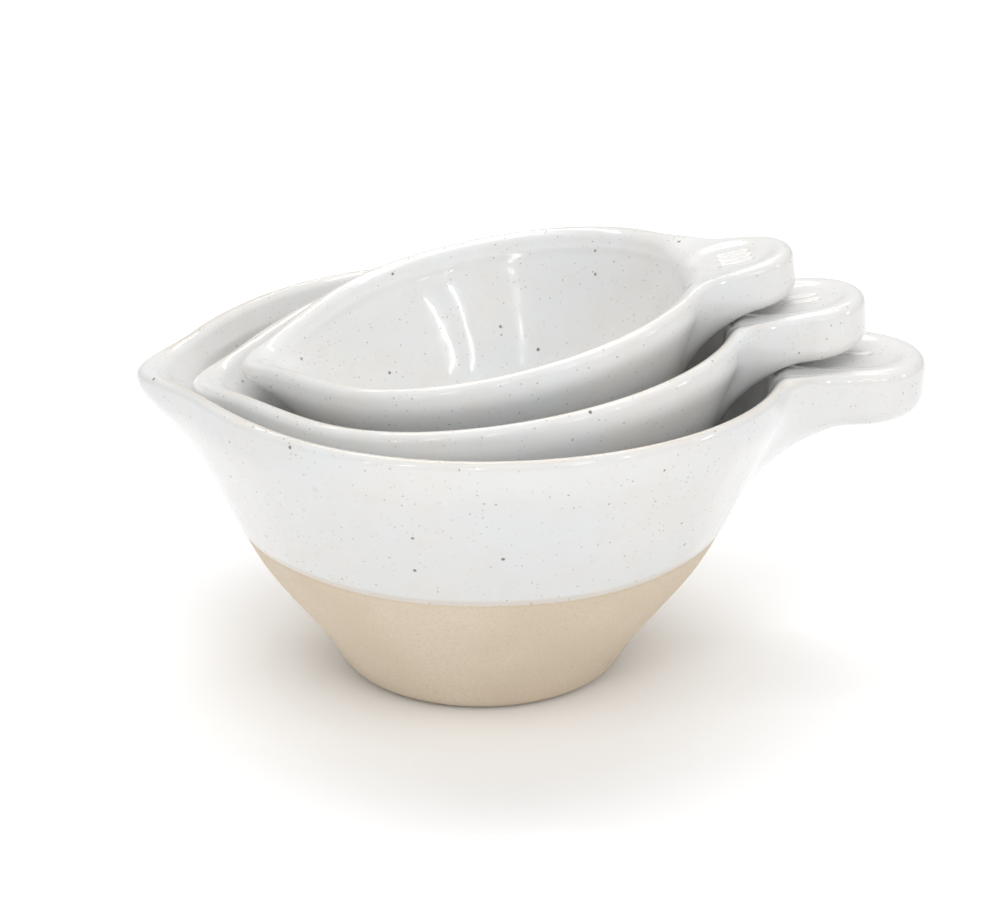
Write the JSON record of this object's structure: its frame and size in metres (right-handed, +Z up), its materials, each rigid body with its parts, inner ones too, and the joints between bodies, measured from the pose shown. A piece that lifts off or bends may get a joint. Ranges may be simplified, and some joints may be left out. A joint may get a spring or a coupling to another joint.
{
  "type": "measuring cup set",
  "caption": "Nesting stoneware measuring cups with pinched spouts, tab handles, speckled gloss glaze and a bare clay foot.",
  "frame": {"origin": "centre of the largest cup's foot, on the surface it stands on", "axes": "+Z up along the largest cup's axis, +X towards the handles, -X towards the spouts"},
  "size_m": [0.1376, 0.1086, 0.0752],
  "materials": {
    "bare_stoneware": "unglazed matte tan stoneware",
    "speckled_glaze": "gloss off-white glaze with fine iron specks"
  },
  "bodies": {
    "large_cup": {"large_cup_body": "bare_stoneware", "large_cup_glaze": "speckled_glaze"},
    "medium_cup": {"medium_cup_body": "bare_stoneware", "medium_cup_glaze": "speckled_glaze"},
    "small_cup": {"small_cup_body": "bare_stoneware", "small_cup_glaze": "speckled_glaze"}
  },
  "joints": [
    {"name": "medium_cup_lift", "type": "slide", "parent": "large_cup", "child": "medium_cup", "axis": [0, 0, 1], "range_m": [0, 0.08]},
    {"name": "small_cup_lift", "type": "slide", "parent": "medium_cup", "child": "small_cup", "axis": [0, 0, 1], "range_m": [0, 0.07]}
  ]
}
